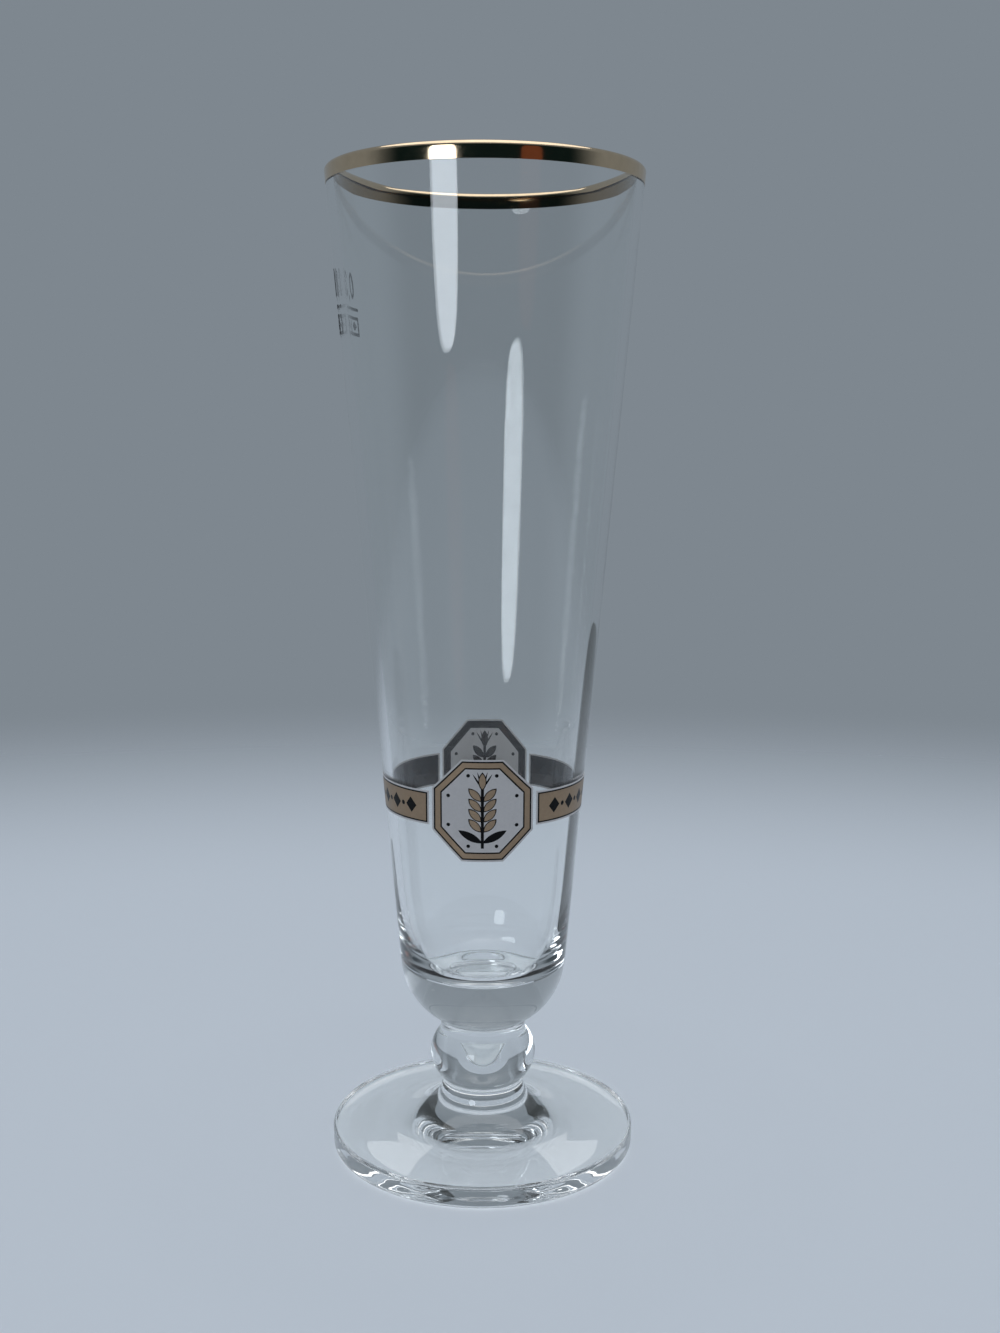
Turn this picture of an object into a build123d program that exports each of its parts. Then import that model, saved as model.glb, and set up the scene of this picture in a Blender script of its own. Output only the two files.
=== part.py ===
from build123d import *
import math
import os

# Pilsner glass: a conical bowl, a rounded knop and a disc foot welded one on another,
# with a gilded lip and fired prints on the outer wall. Millimetres, +Z up.
# The origin is the middle of the foot's underside and -Y is the front.

# Bowl, outside
glass_height = 231.0
rim_diameter = 72.0
side_lean = 5.0
base_round_radius = 18.0

# Bowl, inside
rim_wall = 2.0
lower_wall = 2.2
base_thickness = 12.0
bend_rise = 24.0
floor_radius = 8.0
corner_fullness = 0.75
dimple_land = 2.0
dimple_depth = 0.5

# Welded necks and knop
upper_neck_diameter = 20.6
upper_neck_length = 3.1
lower_neck_diameter = 19.7
lower_neck_length = 0.8
neck_fillet = 0.55
neck_fillet_limit = 0.75
knop_diameter = 25.6
knop_round = 8.0

# Foot
foot_diameter = 73.5
foot_edge_thickness = 5.4
foot_edge_round = 0.9
foot_top_rise = 0.9
flare_rise = 9.3
flare_width = 14.0
flare_fullness = 0.55
rest_ring_width = 4.0
rest_ring_round = 1.4
hollow_depth = 0.8

# Fired films, and the hair's breadth that keeps their curved faces off the glass
film = 0.09
film_clearance = 0.01
gilding_outside = 3.6
gilding_inside = 1.2

# Badges and bands share one level, measured down from the rim
print_drop = 142.2

# Badges on the front and the rear
badge_width = 22.8
badge_tall = 24.0
halo_width = 0.4
keyline_width = 0.35
badge_border = 1.15
corner_dot_radius = 0.42
corner_dot_inset = 3.7

# Barley ear on each badge
grain_length = 3.6
grain_width = 1.45
grain_outline = 0.2
grain_tip_outline = 0.38
grain_pairs = 4
grain_pitch = 2.4
grain_lean = 44.0
grain_offset = 0.42
ear_base = -4.7
ear_top_gap = 0.28
stalk_width = 0.7
stalk_length = 4.1
leaf_length = 6.2
leaf_width = 1.8
leaf_lean = 62.0
leaf_drop = 2.85
awn_length = 4.2
awn_width = 0.4
awn_lean = 16.0

# Bands between the badges
band_tall = 8.0
band_gap = 0.7
lozenge_pitch = 5.4
lozenge_width = 3.4
lozenge_tall = 3.7
lozenge_end_gap = 1.8
band_dot_radius = 0.55

# Capacity mark on the left side, with its line measured down from the rim
mark_angle = 92.0
fill_drop = 30.5
fill_line_length = 16.0
fill_line_width = 0.7
figure_gap = 2.3
figure_tall = 6.0
figure_width = 3.6
figure_stroke = 0.95
figure_space = 1.1
point_width = 1.1
point_tall = 1.8
stamp_gap = 1.7
stamp_width = 15.0
stamp_tall = 4.4
stamp_stroke = 0.75
stamp_lozenge_width = 4.2
stamp_lozenge_tall = 2.2

# Angles from the front, clockwise seen from above
front = 0.0
rear = 180.0
eighth_turn = math.radians(45)


# Heights, stacked up from the foot

rim_radius = rim_diameter / 2
foot_radius = foot_diameter / 2
knop_radius = knop_diameter / 2
upper_neck_radius = upper_neck_diameter / 2
lower_neck_radius = lower_neck_diameter / 2

flare_foot_height = foot_edge_thickness + foot_top_rise
lower_weld = flare_foot_height + flare_rise
knop_bottom = lower_weld + lower_neck_length
knop_ring = knop_radius - knop_round
knop_height = knop_bottom + math.sqrt(knop_round**2 - (lower_neck_radius - knop_ring) ** 2)
knop_top = knop_height + math.sqrt(knop_round**2 - (upper_neck_radius - knop_ring) ** 2)
upper_weld = knop_top + upper_neck_length / 2
bowl_underside = knop_top + upper_neck_length
floor_height = bowl_underside + base_thickness
bend_height = floor_height + bend_rise
lip_height = glass_height - rim_wall / 2
fill_height = glass_height - fill_drop
print_height = glass_height - print_drop

# Radii of the straight wall, outside and inside

lean = math.radians(side_lean)


def side_radius(height):
    return rim_radius - math.tan(lean) * (lip_height - height)


rim_inside_radius = rim_radius - rim_wall
bend_radius = side_radius(bend_height) - lower_wall
inside_slope = (rim_inside_radius - bend_radius) / (lip_height - bend_height)


def inside_radius(height):
    return rim_inside_radius - inside_slope * (lip_height - height)


# Centre of the round base, which touches the straight wall and meets the upper neck

reach = upper_neck_radius - side_radius(0) + base_round_radius / math.cos(lean)
spread = 1 + math.tan(lean) ** 2
half_sum = reach * math.tan(lean) + bowl_underside
product = reach**2 + bowl_underside**2 - base_round_radius**2
base_centre_height = (half_sum + math.sqrt(half_sum**2 - spread * product)) / spread
base_centre_radius = side_radius(base_centre_height) - base_round_radius / math.cos(lean)
shoulder_height = base_centre_height - base_round_radius * math.sin(lean)
shoulder_radius = side_radius(shoulder_height)


def lathe(*edges):
    return revolve(Plane.XZ * make_face(edges), Axis.Z)


def round_crease(solid, height, stub):
    crease = [
        edge
        for edge in solid.edges().filter_by(GeomType.CIRCLE)
        if math.isclose(edge.center().Z, height, abs_tol=1e-3)
    ]
    return solid.fillet(min(neck_fillet, neck_fillet_limit * stub), crease)


# Glass gathers

def make_bowl():
    shoulder = (shoulder_radius, shoulder_height)
    seat = (upper_neck_radius, bowl_underside)
    base_middle = (
        base_centre_radius + base_round_radius * math.cos(eighth_turn),
        base_centre_height - base_round_radius * math.sin(eighth_turn),
    )
    floor_pull = (bend_radius - floor_radius) * corner_fullness
    wall_pull = bend_rise * corner_fullness
    outer_lip = (rim_radius, lip_height)
    inner_lip = (rim_inside_radius, lip_height)
    bend = (bend_radius, bend_height)
    floor_edge = (floor_radius, floor_height)
    dimple_edge = (floor_radius - dimple_land, floor_height)
    dimple_middle = (0, floor_height - dimple_depth)
    body = lathe(
        Line((0, upper_weld), (upper_neck_radius, upper_weld)),
        Line((upper_neck_radius, upper_weld), seat),
        ThreePointArc(seat, base_middle, shoulder),
        Line(shoulder, outer_lip),
        ThreePointArc(outer_lip, (rim_radius - rim_wall / 2, glass_height), inner_lip),
        Line(inner_lip, bend),
        Bezier(
            bend,
            (inside_radius(bend_height - wall_pull), bend_height - wall_pull),
            (floor_radius + floor_pull, floor_height),
            floor_edge,
        ),
        Line(floor_edge, dimple_edge),
        TangentArc(dimple_middle, dimple_edge, tangent=(1, 0)),
        Line(dimple_middle, (0, upper_weld)),
    )
    return round_crease(body, bowl_underside, upper_neck_length / 2)


def make_knop():
    top_seat = (upper_neck_radius, knop_top)
    low_seat = (lower_neck_radius, knop_bottom)
    body = lathe(
        Line((0, lower_weld), (lower_neck_radius, lower_weld)),
        Line((lower_neck_radius, lower_weld), low_seat),
        ThreePointArc(low_seat, (knop_radius, knop_height), top_seat),
        Line(top_seat, (upper_neck_radius, upper_weld)),
        Line((upper_neck_radius, upper_weld), (0, upper_weld)),
        Line((0, upper_weld), (0, lower_weld)),
    )
    body = round_crease(body, knop_top, upper_neck_length / 2)
    return round_crease(body, knop_bottom, lower_neck_length)


def make_foot():
    flare_foot_radius = lower_neck_radius + flare_width
    rest_outer = foot_radius - rest_ring_round
    rest_inner = rest_outer - rest_ring_width
    neck_edge = (lower_neck_radius, lower_weld)
    flare_foot = (flare_foot_radius, flare_foot_height)
    top_edge = (foot_radius - foot_edge_round, foot_edge_thickness)
    side_top = (foot_radius, foot_edge_thickness - foot_edge_round)
    side_low = (foot_radius, rest_ring_round)
    return lathe(
        Line((0, hollow_depth), (0, lower_weld)),
        Line((0, lower_weld), neck_edge),
        Bezier(
            neck_edge,
            (lower_neck_radius, lower_weld - flare_rise * flare_fullness),
            (flare_foot_radius - flare_width * flare_fullness, flare_foot_height),
            flare_foot,
        ),
        Line(flare_foot, top_edge),
        RadiusArc(top_edge, side_top, foot_edge_round),
        Line(side_top, side_low),
        RadiusArc(side_low, (rest_outer, 0), rest_ring_round),
        Line((rest_outer, 0), (rest_inner, 0)),
        TangentArc((0, hollow_depth), (rest_inner, 0), tangent=(1, 0)),
    )


# Gilding over the lip

def over_lip(height_out, height_in, stand_off):
    lip_middle = rim_radius - rim_wall / 2
    outer_low = (side_radius(height_out) + stand_off, height_out)
    outer_lip = (rim_radius + stand_off, lip_height)
    inner_lip = (rim_inside_radius - stand_off, lip_height)
    inner_low = (inside_radius(height_in) - stand_off, height_in)
    return [
        Line(outer_low, outer_lip),
        ThreePointArc(outer_lip, (lip_middle, glass_height + stand_off), inner_lip),
        Line(inner_lip, inner_low),
    ]


def make_gilding():
    low_out = glass_height - gilding_outside
    low_in = glass_height - gilding_inside
    seat = over_lip(low_out, low_in, film_clearance)
    face = over_lip(low_out, low_in, film_clearance + film)
    return lathe(
        *seat,
        Line(seat[-1] @ 1, face[-1] @ 1),
        *face,
        Line(face[0] @ 0, seat[0] @ 0),
    )


# Prints: a conical film cut by outlines that face outward at an angle from the front

def film_between(low, high):
    low_seat = (side_radius(low) + film_clearance, low)
    low_face = (side_radius(low) + film_clearance + film, low)
    high_seat = (side_radius(high) + film_clearance, high)
    high_face = (side_radius(high) + film_clearance + film, high)
    return lathe(
        Line(low_seat, low_face),
        Line(low_face, high_face),
        Line(high_face, high_seat),
        Line(high_seat, low_seat),
    )


def facing(angle, height):
    turn = math.radians(angle)
    outward = (-math.sin(turn), -math.cos(turn), 0)
    across = (math.cos(turn), -math.sin(turn), 0)
    return Plane(origin=(0, 0, height), x_dir=across, z_dir=outward)


def printed(outline, angle, height, room):
    skin = film_between(height - room, height + room)
    return skin & extrude(facing(angle, height) * outline, amount=rim_diameter)


def lens(length, width):
    tip = (0, length / 2)
    heel = (0, -length / 2)
    return make_face(
        [ThreePointArc(heel, (width / 2, 0), tip), ThreePointArc(tip, (-width / 2, 0), heel)]
    )


def lozenge(width, tall):
    return make_face(Polyline((width / 2, 0), (0, tall / 2), (-width / 2, 0), (0, -tall / 2), close=True))


# Badge: an octagon with a gold border between two keylines, and a barley ear on white

def badge_outline(inset):
    half_wide = badge_width / 2 - inset
    half_tall = badge_tall / 2 - inset
    corner = math.tan(math.pi / 8)
    wide_cut = half_wide * corner
    tall_cut = half_tall * corner
    return make_face(
        Polyline(
            (half_wide, tall_cut),
            (wide_cut, half_tall),
            (-wide_cut, half_tall),
            (-half_wide, tall_cut),
            (-half_wide, -tall_cut),
            (-wide_cut, -half_tall),
            (wide_cut, -half_tall),
            (half_wide, -tall_cut),
            close=True,
        )
    )


ear_top = ear_base + grain_pairs * grain_pitch + ear_top_gap


def grain_places():
    rise = Pos(0, grain_length / 2)
    places = [Pos(0, ear_top) * rise]
    for row in range(grain_pairs):
        height = ear_base + row * grain_pitch
        for side in (-1, 1):
            places.append(Pos(side * grain_offset, height) * Rot(0, 0, -side * grain_lean) * rise)
    return places


def ear_gold():
    return Sketch() + [place * lens(grain_length, grain_width) for place in grain_places()]


def ear_black():
    outline_length = grain_length + 2 * grain_tip_outline
    outline_width = grain_width + 2 * grain_outline
    outlines = [place * lens(outline_length, outline_width) for place in grain_places()]
    stalk_middle = (ear_top + ear_base - stalk_length) / 2
    stalk = Pos(0, stalk_middle) * Rectangle(stalk_width, ear_top - ear_base + stalk_length)
    leaves = [
        Pos(0, ear_base - leaf_drop)
        * Rot(0, 0, -side * leaf_lean)
        * Pos(0, leaf_length / 2)
        * lens(leaf_length, leaf_width)
        for side in (-1, 1)
    ]
    awns = [
        Pos(0, ear_top) * Rot(0, 0, fan * awn_lean) * Pos(0, awn_length / 2) * lens(awn_length, awn_width)
        for fan in (-2, -1, 1, 2)
    ]
    return Sketch() + outlines + stalk + leaves + awns - ear_gold()


def corner_dots():
    corners = badge_outline(corner_dot_inset).vertices()
    return [Pos(corner.X, corner.Y) * Circle(corner_dot_radius) for corner in corners]


def make_badge(angle, height):
    outer_key = halo_width
    border = outer_key + keyline_width
    inner_key = border + badge_border
    field = inner_key + keyline_width
    dark = Sketch() + ear_black() + corner_dots()
    white = badge_outline(0) - badge_outline(outer_key) + (badge_outline(field) - ear_gold() - dark)
    gold = badge_outline(border) - badge_outline(inner_key) + ear_gold()
    outer_line = badge_outline(outer_key) - badge_outline(border)
    inner_line = badge_outline(inner_key) - badge_outline(field)
    black = outer_line + inner_line + dark
    return {
        "white": printed(white, angle, height, badge_tall),
        "gold": printed(gold, angle, height, badge_tall),
        "black": printed(black, angle, height, badge_tall),
    }


# Band: a level strip that stops short of the badges

band_span = side_radius(print_height) + film_clearance + film
band_inset = halo_width + keyline_width
band_end = badge_width / 2 + band_gap


def band_block(inset):
    strip = Rectangle(2 * rim_diameter, band_tall - 2 * inset)
    return extrude(Plane.YZ.offset(-band_end - inset) * Pos(0, print_height) * strip, amount=-rim_diameter)


def band_mark(outline, angle):
    return extrude(facing(angle, print_height) * outline, amount=rim_diameter)


def band_marks():
    first_across = band_end + band_inset + lozenge_end_gap + lozenge_width / 2
    first_angle = math.degrees(math.asin(first_across / band_span))
    row_angle = rear - 2 * first_angle
    steps = int(math.radians(row_angle) * band_span / lozenge_pitch)
    step = row_angle / steps
    marks = Part()
    for index in range(steps + 1):
        marks += band_mark(lozenge(lozenge_width, lozenge_tall), first_angle + index * step)
    for index in range(steps):
        marks += band_mark(Circle(band_dot_radius), first_angle + (index + 0.5) * step)
    return marks


def make_left_band():
    skin = film_between(print_height - band_tall, print_height + band_tall)
    marks = band_marks()
    edge = skin & band_block(0)
    key = skin & band_block(halo_width)
    strip = skin & band_block(band_inset)
    return {
        "white": edge - band_block(halo_width),
        "gold": strip - marks,
        "black": Part() + (key - band_block(band_inset)) + (strip & marks),
    }


# Capacity mark: figures over the fill line, and a small plain framed stamp under it

def figure_nought():
    outer = Ellipse(figure_width / 2, figure_tall / 2)
    return outer - Ellipse(figure_width / 2 - figure_stroke, figure_tall / 2 - figure_stroke)


three_radius = (figure_tall + figure_stroke) / 4


def figure_three():
    ring = Circle(three_radius) - Circle(three_radius - figure_stroke)
    drop = three_radius - figure_stroke / 2
    both = Pos(0, drop) * ring + Pos(0, -drop) * ring
    return both - Pos(-three_radius, 0) * Rectangle(2 * three_radius, 2 * drop)


def make_figures():
    row = [
        (figure_width, figure_nought()),
        (point_width, Pos(0, -figure_tall / 2) * lozenge(point_width, point_tall)),
        (2 * three_radius, figure_three()),
        (figure_stroke, Rectangle(figure_stroke, figure_tall)),
    ]
    across = -(sum(width for width, figure in row) + figure_space * (len(row) - 1)) / 2
    outline = Sketch()
    for width, figure in row:
        outline += Pos(across + width / 2, 0) * figure
        across += width + figure_space
    height = fill_height + figure_gap + figure_tall / 2
    return printed(outline, mark_angle, height, figure_tall)


def make_fill_line():
    outline = Rectangle(fill_line_length, fill_line_width)
    return printed(outline, mark_angle, fill_height, fill_line_width)


def make_stamp():
    frame = Rectangle(stamp_width, stamp_tall)
    hole = Rectangle(stamp_width - 2 * stamp_stroke, stamp_tall - 2 * stamp_stroke)
    bar = Rectangle(stamp_stroke, stamp_tall)
    star = lozenge(stamp_lozenge_width, stamp_lozenge_tall)
    stars = Pos(-stamp_width / 4, 0) * star + Pos(stamp_width / 4, 0) * star
    height = fill_height - stamp_gap - stamp_tall / 2
    return printed(frame - hole + bar + stars, mark_angle, height, stamp_tall)


# Write every piece

def make_pieces():
    pieces = {
        "bowl": make_bowl(),
        "stem_knop": make_knop(),
        "foot": make_foot(),
        "rim_gilding": make_gilding(),
        "capacity_figures": make_figures(),
        "fill_line": make_fill_line(),
        "gauge_stamp": make_stamp(),
    }
    left_band = make_left_band()
    for place, prints in (
        ("front_badge", make_badge(front, print_height)),
        ("rear_badge", make_badge(rear, print_height)),
        ("left_band", left_band),
        ("right_band", {ink: mirror(skin, about=Plane.YZ) for ink, skin in left_band.items()}),
    ):
        for ink, skin in prints.items():
            pieces[f"{place}_{ink}"] = skin
    return pieces


os.makedirs("parts", exist_ok=True)
for name, piece in make_pieces().items():
    export_step(piece, f"parts/{name}.step")
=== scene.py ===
import bmesh
import bpy
import math
from mathutils import Matrix, Vector


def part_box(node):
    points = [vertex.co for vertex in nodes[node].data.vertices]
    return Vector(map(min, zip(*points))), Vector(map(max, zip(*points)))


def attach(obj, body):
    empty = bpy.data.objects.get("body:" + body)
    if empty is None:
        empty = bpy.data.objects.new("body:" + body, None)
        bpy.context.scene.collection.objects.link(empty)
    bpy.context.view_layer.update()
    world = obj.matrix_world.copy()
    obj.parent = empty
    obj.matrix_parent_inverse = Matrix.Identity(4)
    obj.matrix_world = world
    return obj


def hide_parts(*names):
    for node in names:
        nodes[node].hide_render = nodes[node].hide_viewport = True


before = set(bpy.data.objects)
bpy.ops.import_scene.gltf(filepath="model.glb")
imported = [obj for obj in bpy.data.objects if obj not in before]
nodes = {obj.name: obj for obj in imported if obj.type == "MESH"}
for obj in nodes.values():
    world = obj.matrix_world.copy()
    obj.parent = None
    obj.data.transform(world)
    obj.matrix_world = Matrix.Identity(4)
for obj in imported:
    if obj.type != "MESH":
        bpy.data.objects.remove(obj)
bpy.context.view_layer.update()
scene = bpy.context.scene
scene.view_settings.view_transform = "Standard"
mm = 0.001
print("frame:", len(nodes), "nodes loaded")

# light runs a long way inside the solid foot and base before it gets out
lightPaths = {"all": 32, "glossy": 24, "transmission": 24}
scene.cycles.max_bounces = lightPaths["all"]
scene.cycles.glossy_bounces = lightPaths["glossy"]
scene.cycles.transmission_bounces = lightPaths["transmission"]

# camera: millimetres and degrees, looking along +Y at the photograph's angle
photoView = {
    "place": (3.8, -349.3, 172.5),
    "tiltDown": 8.87,
    "roll": 0.255,
    "lens": 40.34,
    "sensor": 36.0,
    "clip": (0.01, 100.0),  # metres
}


def placeCamera(view):
    data = bpy.data.cameras.new("photoCamera")
    data.lens = view["lens"]
    data.sensor_width = view["sensor"]
    data.clip_start, data.clip_end = view["clip"]
    camera = bpy.data.objects.new("photoCamera", data)
    scene.collection.objects.link(camera)
    tilt = Matrix.Rotation(math.radians(90 - view["tiltDown"]), 4, "X")
    roll = Matrix.Rotation(math.radians(view["roll"]), 4, "Z")
    camera.matrix_world = Matrix.Translation(Vector(view["place"]) * mm) @ tilt @ roll
    scene.camera = camera


placeCamera(photoView)
print("camera placed")


# node helpers
def feed(tree, node, values):
    # by label or number: another node's output is linked, a plain value is set
    for label, value in values.items():
        if isinstance(value, bpy.types.NodeSocket):
            tree.links.new(value, node.inputs[label])
        else:
            node.inputs[label].default_value = value


def addNode(tree, kind, place, values=None, **settings):
    node = tree.nodes.new(kind)
    node.location = place
    for name, value in settings.items():
        setattr(node, name, value)
    feed(tree, node, values or {})
    return node


def addMath(tree, operation, place, first, second):
    node = addNode(tree, "ShaderNodeMath", place, {0: first, 1: second}, operation=operation)
    return node.outputs["Value"]


def addFade(tree, place, value, ends, levels=(0.0, 1.0)):
    node = addNode(
        tree,
        "ShaderNodeMapRange",
        place,
        {
            "Value": value,
            "From Min": ends[0],
            "From Max": ends[1],
            "To Min": levels[0],
            "To Max": levels[1],
        },
        interpolation_type="SMOOTHSTEP",
    )
    return node.outputs["Result"]


def startGroup(name, inputs, outputs):
    group = bpy.data.node_groups.new(name, "ShaderNodeTree")
    for label, kind, value in inputs:
        socket = group.interface.new_socket(label, in_out="INPUT", socket_type=kind)
        socket.default_value = value
    for label, kind in outputs:
        group.interface.new_socket(label, in_out="OUTPUT", socket_type=kind)
    entry = addNode(group, "NodeGroupInput", (-900, 0)).outputs
    leave = addNode(group, "NodeGroupOutput", (700, 0))
    return group, entry, leave


def startMaterial(name, values):
    material = bpy.data.materials.new(name)
    material.use_nodes = True
    tree = material.node_tree
    shader = tree.nodes["Principled BSDF"]
    feed(tree, shader, values)
    return material, tree, shader


# shared effect: the slow ripple that hot-worked glass and what is fired on it keep
def makeRippleGroup(detail=1.5):
    group, entry, leave = startGroup(
        "hotWorkRipple",
        [("Ripple", "NodeSocketFloat", 60.0), ("Stretch", "NodeSocketFloat", 0.25)],
        [("Height", "NodeSocketFloat")],
    )
    where = addNode(group, "ShaderNodeTexCoord", (-900, 250))
    squeeze = addNode(
        group, "ShaderNodeCombineXYZ", (-700, 100), {"X": 1.0, "Y": 1.0, "Z": entry["Stretch"]}
    )
    scaled = addNode(
        group,
        "ShaderNodeVectorMath",
        (-500, 200),
        {0: where.outputs["Object"], 1: squeeze.outputs["Vector"]},
        operation="MULTIPLY",
    )
    noise = addNode(
        group,
        "ShaderNodeTexNoise",
        (-250, 200),
        {"Vector": scaled.outputs["Vector"], "Scale": entry["Ripple"], "Detail": detail},
    )
    feed(group, leave, {"Height": noise.outputs["Fac"]})
    return group


# shared effect: a fired print, one colour outside and another where it is seen through the glass
def makeFiredPrintGroup(detail=4.0, noiseRange=(0.25, 0.75)):
    group, entry, leave = startGroup(
        "firedPrint",
        [
            ("Outside", "NodeSocketColor", (0.8, 0.8, 0.8, 1)),
            ("Through Glass", "NodeSocketColor", (0.5, 0.5, 0.5, 1)),
            ("Mottle", "NodeSocketFloat", 0.1),
            ("Grain", "NodeSocketFloat", 900.0),
            ("Smooth", "NodeSocketFloat", 0.3),
            ("Smooth Inside", "NodeSocketFloat", 0.3),
        ],
        [
            ("Colour", "NodeSocketColor"),
            ("Roughness", "NodeSocketFloat"),
            ("Height", "NodeSocketFloat"),
        ],
    )
    # a face that looks away from the glass's axis is outside
    shape = addNode(group, "ShaderNodeNewGeometry", (-900, 400)).outputs
    flat = addNode(
        group,
        "ShaderNodeVectorMath",
        (-700, 500),
        {0: shape["Position"], 1: (1, 1, 0)},
        operation="MULTIPLY",
    )
    facing = addNode(
        group,
        "ShaderNodeVectorMath",
        (-500, 450),
        {0: flat.outputs["Vector"], 1: shape["Normal"]},
        operation="DOT_PRODUCT",
    )
    outside = addMath(group, "GREATER_THAN", (-300, 450), facing.outputs["Value"], 0.0)
    # the film's uneven thickness shades its colour and dulls its shine
    noise = addNode(
        group,
        "ShaderNodeTexNoise",
        (-500, -200),
        {"Vector": shape["Position"], "Scale": entry["Grain"], "Detail": detail},
    ).outputs["Fac"]
    tone = addNode(
        group,
        "ShaderNodeMapRange",
        (-250, -200),
        {
            "Value": noise,
            "From Min": noiseRange[0],
            "From Max": noiseRange[1],
            "To Min": addMath(group, "SUBTRACT", (-450, -450), 1.0, entry["Mottle"]),
            "To Max": 1.0,
        },
    ).outputs["Result"]
    side = addNode(
        group,
        "ShaderNodeMix",
        (-50, 300),
        {"Factor": outside, "A": entry["Through Glass"], "B": entry["Outside"]},
        data_type="RGBA",
    )
    shade = addNode(
        group,
        "ShaderNodeVectorMath",
        (250, 250),
        {0: side.outputs["Result"], "Scale": tone},
        operation="SCALE",
    )
    gloss = addNode(
        group,
        "ShaderNodeMix",
        (0, 0),
        {"Factor": outside, "A": entry["Smooth Inside"], "B": entry["Smooth"]},
        data_type="FLOAT",
    )
    worn = addMath(group, "DIVIDE", (250, 0), gloss.outputs["Result"], tone)
    feed(group, leave, {"Colour": shade.outputs["Vector"], "Roughness": worn, "Height": noise})
    return group


rippleGroup = makeRippleGroup()
firedPrintGroup = makeFiredPrintGroup()


def addBump(tree, shader, height, finish):
    bump = addNode(
        tree,
        "ShaderNodeBump",
        (-200, -300),
        {"Strength": finish["bump"], "Distance": finish["bumpDepth"], "Height": height},
    )
    feed(tree, shader, {"Normal": bump.outputs["Normal"]})


def addRipple(tree, shader, finish):
    ripple = addNode(
        tree,
        "ShaderNodeGroup",
        (-500, -350),
        {"Ripple": finish["ripple"], "Stretch": finish["stretch"]},
        node_tree=rippleGroup,
    )
    addBump(tree, shader, ripple.outputs["Height"], finish)


def addFiredPrint(tree, shader, values):
    fired = addNode(tree, "ShaderNodeGroup", (-500, 0), values, node_tree=firedPrintGroup).outputs
    feed(tree, shader, {"Base Color": fired["Colour"], "Roughness": fired["Roughness"]})
    return fired


# glass: the bowl's thin walls are clear, the solid knop and foot keep a faint grey-green
hotGlass = {
    "clearTint": (0.985, 0.995, 0.992, 1),
    "thickTint": (0.87, 0.888, 0.884, 1),
    "refraction": 1.52,
    "ripple": 55.0,
    "stretch": 0.3,
    "bump": 1.0,
    "bumpDepth": 0.00002,
}


def makeGlass(name, tint, finish):
    values = {
        "Base Color": tint,
        "Roughness": 0.0,
        "IOR": finish["refraction"],
        "Transmission Weight": 1.0,
    }
    material, tree, shader = startMaterial(name, values)
    addRipple(tree, shader, finish)
    return material


weldClear = startMaterial("weldClear", {"Alpha": 0.0})[0]  # a weld inside the glass shows nothing
bowlMaterials = [makeGlass("clearGlass", hotGlass["clearTint"], hotGlass), weldClear]
stemMaterials = [makeGlass("thickGlass", hotGlass["thickTint"], hotGlass), weldClear]
print("glass materials made")

# lathe: profiles are (radius, height) in millimetres, and the gaps are the least that count
lathe = {
    "segments": 288,
    "pointGap": 1e-5,  # millimetres
    "mergeGap": 2e-7,  # metres
    "weldGap": 1e-8,  # metres
    "sharpAngle": 28,
}


def line(start, end, parts):
    return [
        tuple(a + (b - a) * step / parts for a, b in zip(start, end))
        for step in range(parts + 1)
    ]


def arc(centre, start, end, stepAngle=2.5, turn=0):
    first = math.atan2(start[1] - centre[1], start[0] - centre[0])
    last = math.atan2(end[1] - centre[1], end[0] - centre[0])
    if turn > 0 and last < first:
        last += math.tau
    if turn < 0 and last > first:
        last -= math.tau
    radius = math.dist(centre, start)
    parts = max(2, math.ceil(abs(math.degrees(last - first)) / stepAngle))
    angles = [first + (last - first) * step / parts for step in range(parts + 1)]
    return [
        (centre[0] + radius * math.cos(angle), centre[1] + radius * math.sin(angle))
        for angle in angles
    ]


def bezier(start, startPull, endPull, end, parts=48):
    corners = (start, startPull, endPull, end)
    points = []
    for step in range(parts + 1):
        t = step / parts
        weights = ((1 - t) ** 3, 3 * t * (1 - t) ** 2, 3 * t * t * (1 - t), t**3)
        points.append(tuple(sum(w * c[axis] for w, c in zip(weights, corners)) for axis in (0, 1)))
    return points


def chain(*runs):
    points = []
    for run in runs:
        for point in run:
            if not points or math.dist(points[-1], point) > lathe["pointGap"]:
                points.append(point)
    return points


def spinGlass(name, profile, materials, weldHeights=()):
    build = bmesh.new()
    verts = [build.verts.new((radius * mm, 0, height * mm)) for radius, height in profile]
    edges = [build.edges.new(pair) for pair in zip(verts, verts[1:])]
    bmesh.ops.spin(
        build,
        geom=verts + edges,
        axis=(0, 0, 1),
        cent=(0, 0, 0),
        angle=math.tau,
        steps=lathe["segments"],
    )
    bmesh.ops.remove_doubles(build, verts=build.verts[:], dist=lathe["mergeGap"])
    bmesh.ops.recalc_face_normals(build, faces=build.faces[:])
    for face in build.faces:
        face.smooth = True
        for weld in weldHeights:
            if all(abs(vert.co.z - weld * mm) < lathe["weldGap"] for vert in face.verts):
                face.material_index = 1
    mesh = bpy.data.meshes.new(name)
    build.to_mesh(mesh)
    build.free()
    for material in materials:
        mesh.materials.append(material)
    mesh.set_sharp_from_angle(angle=math.radians(lathe["sharpAngle"]))
    piece = bpy.data.objects.new(name, mesh)
    scene.collection.objects.link(piece)
    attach(piece, "root")
    return piece


# main sizes come from the frame, in millimetres
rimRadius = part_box("bowl")[1][0] / mm
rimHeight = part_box("bowl")[1][2] / mm
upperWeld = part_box("stem_knop")[1][2] / mm
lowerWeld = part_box("stem_knop")[0][2] / mm
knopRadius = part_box("stem_knop")[1][0] / mm
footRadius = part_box("foot")[1][0] / mm

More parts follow.
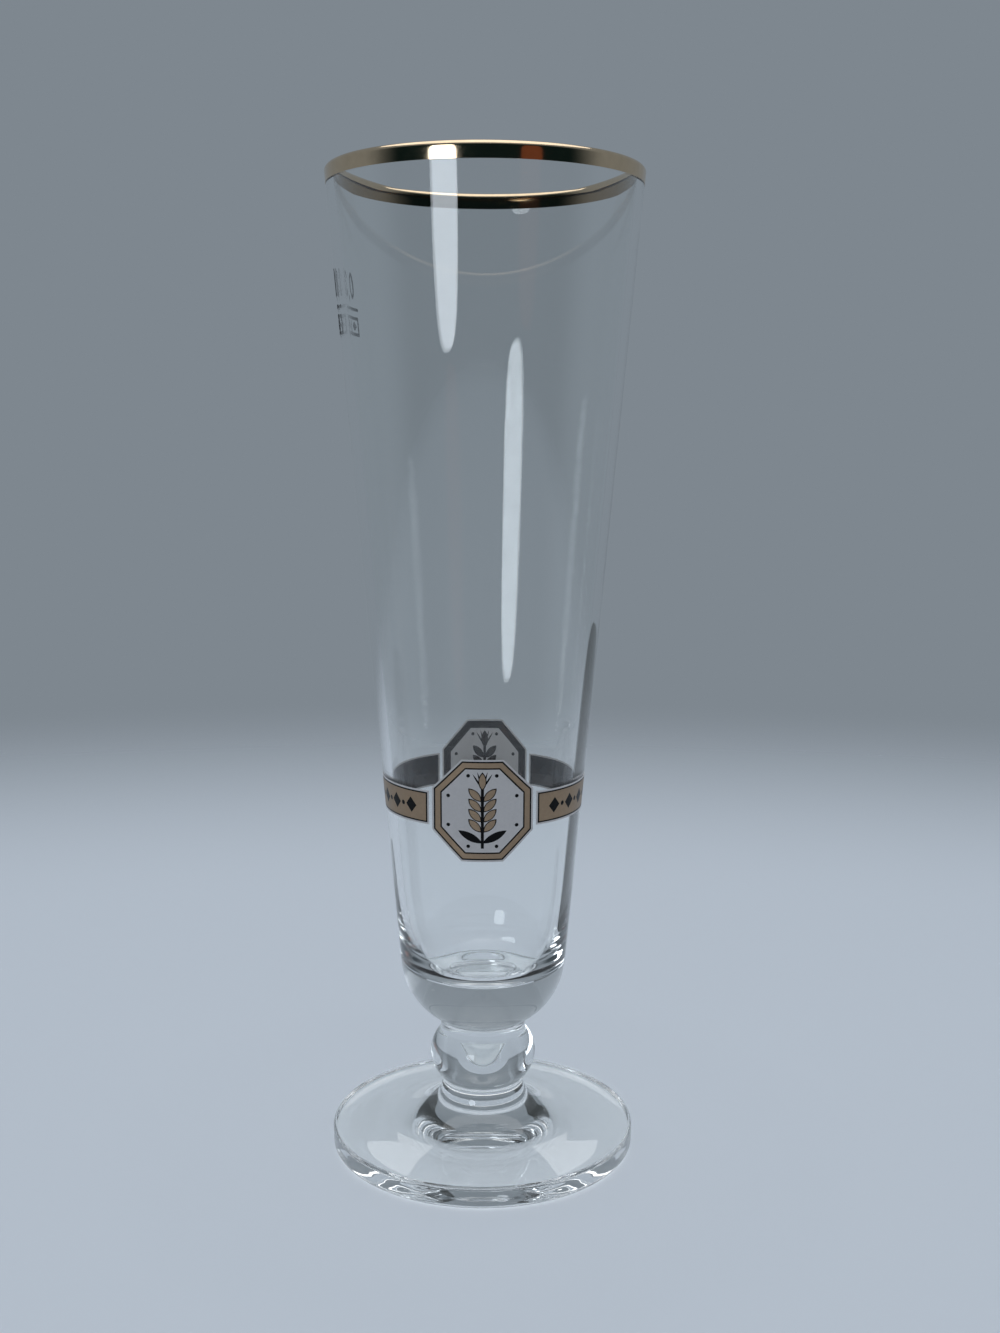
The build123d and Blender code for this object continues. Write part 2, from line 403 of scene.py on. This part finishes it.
# knop between two necks
knopGlass = {
    "upperNeck": 10.3,
    "upperNeckLength": 3.1,
    "lowerNeck": 9.85,
    "lowerNeckLength": 0.8,
    "sideRound": 8.0,
    "crease": 0.55,
}
knopBottom = lowerWeld + knopGlass["lowerNeckLength"]
knopRing = knopRadius - knopGlass["sideRound"]
knopHeight = knopBottom + math.sqrt(
    knopGlass["sideRound"] ** 2 - (knopGlass["lowerNeck"] - knopRing) ** 2
)
bowlUnderside = upperWeld + knopGlass["upperNeckLength"] / 2


def creaseArc(neck, ballCentre, ballRadius, crease, side):
    # round that leaves the straight neck and runs on to the ball, above it (1) or below it (-1)
    reach = neck + crease - ballCentre[0]
    rise = math.sqrt((ballRadius + crease) ** 2 - reach**2)
    centre = (neck + crease, ballCentre[1] + side * rise)
    share = ballRadius / (ballRadius + crease)
    onBall = tuple(b + (c - b) * share for b, c in zip(ballCentre, centre))
    return arc(centre, (neck, centre[1]), onBall, stepAngle=8, turn=side)


def makeKnop(size):
    centre = (knopRing, knopHeight)
    low = creaseArc(size["lowerNeck"], centre, size["sideRound"], size["crease"], -1)
    high = creaseArc(size["upperNeck"], centre, size["sideRound"], size["crease"], 1)[::-1]
    profile = chain(
        [(0, lowerWeld), (size["lowerNeck"], lowerWeld)],
        low,
        arc(centre, low[-1], high[0]),
        high,
        [(size["upperNeck"], upperWeld), (0, upperWeld)],
    )
    piece = spinGlass("knopGlass", profile, stemMaterials, (lowerWeld, upperWeld))
    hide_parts("stem_knop")


makeKnop(knopGlass)

# bowl: straight leaning wall on a thick round base; proud sinks the prints' backs a hair into the wall
bowlGlass = {
    "lean": 5.0,
    "baseRound": 18.0,
    "rimWall": 2.0,
    "lowerWall": 2.2,
    "baseThickness": 12.0,
    "bendRise": 24.0,
    "floorRadius": 8.0,
    "cornerFullness": 0.75,
    "dimpleLand": 2.0,
    "dimpleDepth": 0.5,
    "proud": 0.03,
    "wallParts": 24,
    "lipStep": 9,
}
lipHeight = rimHeight - bowlGlass["rimWall"] / 2
rimInside = rimRadius - bowlGlass["rimWall"]
wallSlope = math.tan(math.radians(bowlGlass["lean"]))


def wallRadius(height, proud=0.0):
    return rimRadius + proud - wallSlope * (lipHeight - height)


def makeBowl(size):
    neck = knopGlass["upperNeck"]
    floorHeight = bowlUnderside + size["baseThickness"]
    bendHeight = floorHeight + size["bendRise"]
    bendRadius = wallRadius(bendHeight) - size["lowerWall"]
    insideSlope = (rimInside - bendRadius) / (lipHeight - bendHeight)
    # centre of the base round, which touches the wall and meets the neck
    lean = math.radians(size["lean"])
    base = size["baseRound"]
    proud = size["proud"]
    reach = neck - wallRadius(0, proud) + base / math.cos(lean)
    spread = 1 + wallSlope**2
    halfSum = reach * wallSlope + bowlUnderside
    product = reach**2 + bowlUnderside**2 - base**2
    baseHeight = (halfSum + math.sqrt(halfSum**2 - spread * product)) / spread
    baseCentre = (wallRadius(baseHeight, proud) - base / math.cos(lean), baseHeight)
    shoulderHeight = baseHeight - base * math.sin(lean)
    shoulder = (wallRadius(shoulderHeight, proud), shoulderHeight)
    crease = creaseArc(neck, baseCentre, base, knopGlass["crease"], -1)
    outerLip = (rimRadius + proud, lipHeight)
    innerLip = (rimInside, lipHeight)
    lipCentre = ((outerLip[0] + innerLip[0]) / 2, lipHeight)
    # soft inner corner, then the dimple in the floor
    wallPull = size["bendRise"] * size["cornerFullness"]
    floorPull = (bendRadius - size["floorRadius"]) * size["cornerFullness"]
    pullHeight = bendHeight - wallPull
    dimpleRadius = size["floorRadius"] - size["dimpleLand"]
    dimpleRound = (dimpleRadius**2 + size["dimpleDepth"] ** 2) / (2 * size["dimpleDepth"])
    profile = chain(
        [(0, upperWeld), (neck, upperWeld)],
        crease,
        arc(baseCentre, crease[-1], shoulder),
        line(shoulder, outerLip, size["wallParts"]),
        arc(lipCentre, outerLip, innerLip, stepAngle=size["lipStep"], turn=1),
        line(innerLip, (bendRadius, bendHeight), size["wallParts"]),
        bezier(
            (bendRadius, bendHeight),
            (rimInside - insideSlope * (lipHeight - pullHeight), pullHeight),
            (size["floorRadius"] + floorPull, floorHeight),
            (size["floorRadius"], floorHeight),
        ),
        [(dimpleRadius, floorHeight)],
        arc(
            (0, floorHeight - size["dimpleDepth"] + dimpleRound),
            (dimpleRadius, floorHeight),
            (0, floorHeight - size["dimpleDepth"]),
            stepAngle=1,
        ),
    )
    piece = spinGlass("bowlGlass", profile, bowlMaterials, (upperWeld,))
    piece.visible_shadow = False  # thin clear walls hardly shade what is behind them
    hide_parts("bowl")
    return insideSlope


insideSlope = makeBowl(bowlGlass)

# foot: disc with a flared collar, resting on a narrow ring
footGlass = {
    "edgeThickness": 5.4,
    "edgeRound": 0.9,
    "topRise": 0.9,
    "flareWidth": 14.0,
    "flareFullness": 0.55,
    "restWidth": 4.0,
    "restRound": 1.4,
    "hollow": 0.8,
    "topParts": 8,
}


def makeFoot(size):
    neck = knopGlass["lowerNeck"]
    flareFoot = (neck + size["flareWidth"], size["edgeThickness"] + size["topRise"])
    flareDrop = (lowerWeld - flareFoot[1]) * size["flareFullness"]
    flareReach = size["flareWidth"] * size["flareFullness"]
    topEdge = (footRadius - size["edgeRound"], size["edgeThickness"])
    sideTop = (footRadius, size["edgeThickness"] - size["edgeRound"])
    sideBottom = (footRadius, size["restRound"])
    restOuter = footRadius - size["restRound"]
    restInner = restOuter - size["restWidth"]
    hollowRound = (restInner**2 + size["hollow"] ** 2) / (2 * size["hollow"])
    profile = chain(
        [(0, lowerWeld), (neck, lowerWeld)],
        bezier(
            (neck, lowerWeld),
            (neck, lowerWeld - flareDrop),
            (flareFoot[0] - flareReach, flareFoot[1]),
            flareFoot,
        ),
        line(flareFoot, topEdge, size["topParts"]),
        arc((topEdge[0], sideTop[1]), topEdge, sideTop, stepAngle=6),
        [sideBottom],
        arc((restOuter, size["restRound"]), sideBottom, (restOuter, 0), stepAngle=8),
        [(restInner, 0)],
        arc((0, size["hollow"] - hollowRound), (restInner, 0), (0, size["hollow"]), stepAngle=0.2),
    )
    piece = spinGlass("footGlass", profile, stemMaterials, (lowerWeld,))
    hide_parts("foot")
    return piece


footPiece = makeFoot(footGlass)
print("glass pieces spun")

# gilding fired over the lip: its face is mirror bright, and its back shows through the glass
lipGilding = {
    "outside": 3.6,
    "inside": 1.2,
    "seat": 0.005,
    "film": 0.095,
    "edgeParts": 2,
    "gold": (0.80, 0.62, 0.42, 1),
    "back": (0.42, 0.30, 0.18, 1),
    "smooth": 0.08,
    "mottle": 0.12,
    "grain": 500.0,
    "ripple": 220.0,
    "stretch": 1.0,
    "bump": 0.6,
    "bumpDepth": 0.00003,
}
lipMiddle = rimRadius - bowlGlass["rimWall"] / 2


def makeGoldMaterial(name, colour, finish):
    material, tree, shader = startMaterial(name, {"Metallic": 1.0})
    values = {
        "Outside": colour,
        "Through Glass": colour,
        "Mottle": finish["mottle"],
        "Grain": finish["grain"],
        "Smooth": finish["smooth"],
        "Smooth Inside": finish["smooth"],
    }
    addFiredPrint(tree, shader, values)
    addRipple(tree, shader, finish)
    return material


def lipLine(size, standOff):
    lowOut = rimHeight - size["outside"]
    lowIn = rimHeight - size["inside"]
    outerLip = (rimRadius + standOff, lipHeight)
    innerLip = (rimInside - standOff, lipHeight)
    innerEnd = (rimInside - insideSlope * (lipHeight - lowIn) - standOff, lowIn)
    return chain(
        line((wallRadius(lowOut) + standOff, lowOut), outerLip, size["edgeParts"]),
        arc((lipMiddle, lipHeight), outerLip, innerLip, stepAngle=bowlGlass["lipStep"], turn=1),
        line(innerLip, innerEnd, size["edgeParts"]),
    )


def makeGilding(size):
    faceLine = lipLine(size, size["seat"] + size["film"])
    seatLine = lipLine(size, size["seat"])
    profile = chain(faceLine, seatLine[::-1], faceLine[:1])
    materials = [
        makeGoldMaterial("lipGold", size["gold"], size),
        makeGoldMaterial("lipGoldBack", size["back"], size),
    ]
    piece = spinGlass("lipGilding", profile, materials)
    # faces that look into the wall take the back's colour
    for face in piece.data.polygons:
        outward = face.center.xy.normalized()
        stand = (face.center.xy.length - lipMiddle * mm, max(0.0, face.center.z - lipHeight * mm))
        if face.normal.xy.dot(outward) * stand[0] + face.normal.z * stand[1] < 0:
            face.material_index = 1
    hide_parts("rim_gilding")


makeGilding(lipGilding)
print("lip gilded")

# fired prints keep their own solids and take these inks
inks = {
    "white": {
        "outside": (0.78, 0.75, 0.745, 1),
        "through": (0.55, 0.55, 0.56, 1),
        "metal": 0.0,
        "shine": 0.3,
        "smooth": 0.32,
        "inside": 0.2,
        "mottle": 0.06,
    },
    "black": {
        "outside": (0.008, 0.008, 0.009, 1),
        "through": (0.008, 0.008, 0.009, 1),
        "metal": 0.0,
        "shine": 0.08,
        "smooth": 0.25,
        "inside": 0.2,
        "mottle": 0.3,
    },
    "gold": {
        "outside": (0.38, 0.275, 0.185, 1),
        "through": (0.03, 0.013, 0.005, 1),
        "metal": 1.0,
        "shine": 0.5,
        "smooth": 0.36,
        "inside": 0.12,
        "mottle": 0.12,
    },
    "grey": {
        "outside": (0.05, 0.055, 0.06, 1),
        "through": (0.05, 0.055, 0.06, 1),
        "metal": 0.0,
        "shine": 0.2,
        "smooth": 0.4,
        "inside": 0.4,
        "mottle": 0.25,
    },
}
inkFilm = {"grain": 1400.0, "bump": 0.25, "bumpDepth": 0.00003}
greyMarks = ("capacity_figures", "fill_line", "gauge_stamp")


def makeInk(name, ink):
    material, tree, shader = startMaterial(
        name + "Ink", {"Metallic": ink["metal"], "Specular IOR Level": ink["shine"]}
    )
    values = {
        "Outside": ink["outside"],
        "Through Glass": ink["through"],
        "Mottle": ink["mottle"],
        "Grain": inkFilm["grain"],
        "Smooth": ink["smooth"],
        "Smooth Inside": ink["inside"],
    }
    fired = addFiredPrint(tree, shader, values)
    addBump(tree, shader, fired["Height"], inkFilm)
    return material


inkMaterials = {name: makeInk(name, ink) for name, ink in inks.items()}
for nodeName, node in nodes.items():
    colour = "grey" if nodeName in greyMarks else nodeName.split("_")[-1]
    if colour in inkMaterials:
        for slot in node.material_slots:
            slot.material = inkMaterials[colour]
print("prints inked")

# stage, in metres: a pale floor that fades into a room, which is dim low down in front
studio = {
    "floorColour": (0.73, 0.79, 0.87, 1),
    "floorRough": 0.55,
    "floorShine": 0.2,
    "floorSize": 4.0,
    "floorDrop": 0.0002,
    "fadeSpot": (0.0, -0.5, 0.0),
    "fadeReach": (0.70, 1.12),
    "room": (0.209, 0.242, 0.275, 1),
    "dimPatch": (0.005, 0.012, 0.014, 1),
    "patchAhead": (0.05, -0.5),
    "patchLevel": (0.6, 0.35),
}
halfCount = 0.5  # tells one whole number from the next
floorCorners = ((-1, -1), (1, -1), (1, 1), (-1, 1))


def makeFloor(stage):
    values = {
        "Base Color": stage["floorColour"],
        "Roughness": stage["floorRough"],
        "Specular IOR Level": stage["floorShine"],
    }
    material, tree, shader = startMaterial("paleFloor", values)
    shape = addNode(tree, "ShaderNodeNewGeometry", (-800, -200))
    reach = addNode(
        tree,
        "ShaderNodeVectorMath",
        (-600, -200),
        {0: shape.outputs["Position"], 1: stage["fadeSpot"]},
        operation="DISTANCE",
    ).outputs["Value"]
    feed(tree, shader, {"Alpha": addFade(tree, (-400, -200), reach, stage["fadeReach"], (1.0, 0.0))})
    half = stage["floorSize"] / 2
    mesh = bpy.data.meshes.new("paleFloor")
    corners = [(x * half, y * half, -stage["floorDrop"]) for x, y in floorCorners]
    mesh.from_pydata(corners, [], [(0, 1, 2, 3)])
    mesh.materials.append(material)
    floor = bpy.data.objects.new("paleFloor", mesh)
    scene.collection.objects.link(floor)


def lightRoom(stage):
    room = bpy.data.worlds.new("dimRoom")
    room.use_nodes = True
    scene.world = room
    tree = room.node_tree
    where = addNode(tree, "ShaderNodeTexCoord", (-1000, 0))
    split = addNode(tree, "ShaderNodeSeparateXYZ", (-800, 0), {"Vector": where.outputs["Generated"]})
    ahead = addFade(tree, (-600, 150), split.outputs["Y"], stage["patchAhead"])
    level = addFade(tree, (-600, -150), split.outputs["Z"], stage["patchLevel"])
    patch = addMath(tree, "MULTIPLY", (-400, 0), ahead, level)
    # seen straight, or straight through the glass, the room is plain all round
    paths = addNode(tree, "ShaderNodeLightPath", (-1000, -500)).outputs
    straight = addMath(tree, "ADD", (-800, -400), paths["Is Camera Ray"], paths["Is Transmission Ray"])
    bounced = addMath(tree, "ADD", (-800, -600), paths["Glossy Depth"], paths["Diffuse Depth"])
    direct = addMath(tree, "LESS_THAN", (-600, -600), bounced, halfCount)
    plain = addMath(tree, "MULTIPLY", (-600, -400), straight, direct)
    mirrored = addMath(tree, "SUBTRACT", (-400, -400), 1.0, plain)
    dimmed = addMath(tree, "MULTIPLY", (-300, -150), patch, mirrored)
    blend = addNode(
        tree,
        "ShaderNodeMix",
        (-150, 0),
        {"Factor": dimmed, "A": stage["room"], "B": stage["dimPatch"]},
        data_type="RGBA",
    )
    feed(tree, tree.nodes["Background"], {"Color": blend.outputs["Result"]})


makeFloor(studio)
lightRoom(studio)
print("floor and room made")

# broad light overhead
overhead = {"place": (0.0, 0.0, 1.4), "size": 2.0, "power": 11.5, "spread": 170}


def hangOverhead(lamp, foot):
    data = bpy.data.lights.new("overhead", "AREA")
    data.shape = "DISK"
    data.size = lamp["size"]
    data.energy = lamp["power"]
    data.spread = math.radians(lamp["spread"])
    light = bpy.data.objects.new("overhead", data)
    light.location = lamp["place"]
    light.visible_camera = False
    light.visible_transmission = False
    scene.collection.objects.link(light)
    # the clear foot lets this light through to the floor under it
    passes = bpy.data.collections.new("overheadPasses")
    passes.objects.link(foot)
    light.light_linking.blocker_collection = passes
    passes.collection_objects[0].light_linking.link_state = "EXCLUDE"


hangOverhead(overhead, footPiece)

# two soft boxes in front give the bright streaks on glass and gold
softBoxes = {
    "window": {
        "place": (-0.313, -0.588, 0.2355),
        "aim": (0.0, 0.0, 0.20),
        "size": (0.216, 0.243),
        "colour": (0.92, 1.0, 1.08, 1),
        "strength": 4.8,
    },
    "warmCard": {
        "place": (0.50, -0.80, 0.25),
        "aim": (0.0, 0.0, 0.20),
        "size": (0.24, 0.30),
        "colour": (1.0, 0.36, 0.20, 1),
        "strength": 0.14,
    },
}
# two dim flags behind darken the bowl's edges, where light turns back once inside the wall
edgeFlags = {
    "rightFlag": {
        "place": (0.064, 0.070, 0.0575),
        "aim": (0.025, 0.0, 0.0575),
        "size": (0.064, 0.115),
        "colour": (0.9, 1.0, 1.0, 1),
        "strength": 0.04,
    },
    "leftFlag": {
        "place": (-0.044, 0.078, 0.026),
        "aim": (-0.025, 0.0, 0.026),
        "size": (0.028, 0.052),
        "colour": (0.9, 1.0, 1.0, 1),
        "strength": 0.04,
    },
}
flagTurns = 1


def makeCardGlow(name, look, mostTurns):
    values = {
        "Base Color": (0, 0, 0, 1),
        "Specular IOR Level": 0.0,
        "Emission Color": look["colour"],
        "Emission Strength": look["strength"],
    }
    material, tree, shader = startMaterial(name, values)
    # there for mirrored light only, so that nothing shows straight through the glass
    turns = addNode(tree, "ShaderNodeLightPath", (-800, -200)).outputs["Glossy Depth"]
    mirrored = addMath(tree, "GREATER_THAN", (-600, -100), turns, halfCount)
    few = addMath(tree, "LESS_THAN", (-600, -300), turns, mostTurns + halfCount)
    feed(tree, shader, {"Alpha": addMath(tree, "MULTIPLY", (-400, -200), mirrored, few)})
    material.cycles.emission_sampling = "NONE"
    return material


def cardOutline(size, corners=48, squareness=3.2):
    outline = []
    for step in range(corners):
        turn = math.tau * step / corners
        waves = (math.cos(turn), math.sin(turn))
        across, up = (
            math.copysign(abs(wave) ** (2 / squareness), wave) * side / 2
            for wave, side in zip(waves, size)
        )
        outline.append((across, up, 0))
    return outline


def placeCard(name, look, mostTurns):
    outline = cardOutline(look["size"])
    mesh = bpy.data.meshes.new(name)
    mesh.from_pydata(outline, [], [tuple(range(len(outline)))])
    mesh.materials.append(makeCardGlow(name, look, mostTurns))
    card = bpy.data.objects.new(name, mesh)
    card.location = look["place"]
    facing = Vector(look["aim"]) - Vector(look["place"])
    card.rotation_euler = facing.to_track_quat("Z", "Y").to_euler()
    card.visible_camera = False
    card.visible_diffuse = False
    card.visible_shadow = False
    scene.collection.objects.link(card)
    return card


for boxName, box in softBoxes.items():
    placeCard(boxName, box, lightPaths["glossy"])
for flagName, flag in edgeFlags.items():
    placeCard(flagName, flag, flagTurns).visible_glossy = False
print("stage lit")

bpy.context.view_layer.update()
